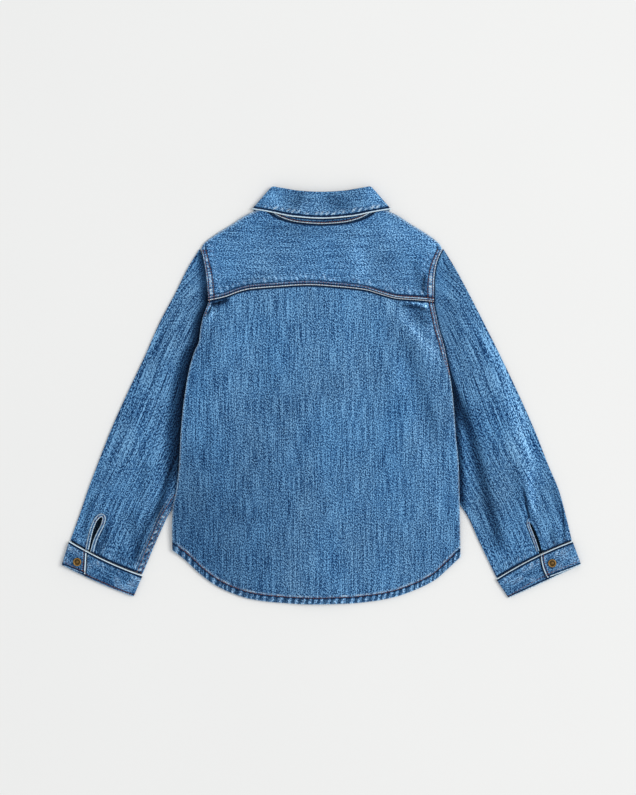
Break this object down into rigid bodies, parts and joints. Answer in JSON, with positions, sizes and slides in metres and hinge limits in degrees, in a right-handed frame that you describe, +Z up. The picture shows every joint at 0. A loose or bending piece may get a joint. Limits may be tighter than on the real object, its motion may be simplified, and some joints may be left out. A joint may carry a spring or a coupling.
{
  "type": "denim shirt laid flat",
  "caption": "Child's long-sleeved denim shirt with a folded collar, shoulder yoke, curved shirt-tail hem and buttoned cuffs, laid flat with its back up.",
  "frame": {"origin": "middle of the footprint of the laid-flat shirt, on the surface it lies on", "axes": "+X from the left cuff to the right cuff as seen from above, +Y from the hem to the collar, +Z up out of the shirt's back"},
  "size_m": [0.5977, 0.4815, 0.0087],
  "materials": {
    "denim": "mid-wash blue denim with lengthwise streaks",
    "denim_light": "the same denim, cut across and a little more worn",
    "binding": "narrow denim strip with worn edges",
    "brass": "dull antique brass"
  },
  "bodies": {
    "root": {"back": "denim", "yoke": "denim_light", "front_left": "denim_light", "front_right": "denim_light", "sleeve_left": "denim", "sleeve_right": "denim", "slit_binding_left": "binding", "slit_binding_right": "binding", "cuff_left": "denim_light", "cuff_right": "denim_light", "collar_stand": "denim", "collar_leaf": "denim_light", "cuff_button_left": "brass", "cuff_button_right": "brass", "front_button_1": "brass", "front_button_2": "brass", "front_button_3": "brass", "front_button_4": "brass", "front_button_5": "brass", "front_button_6": "brass"}
  },
  "joints": []
}
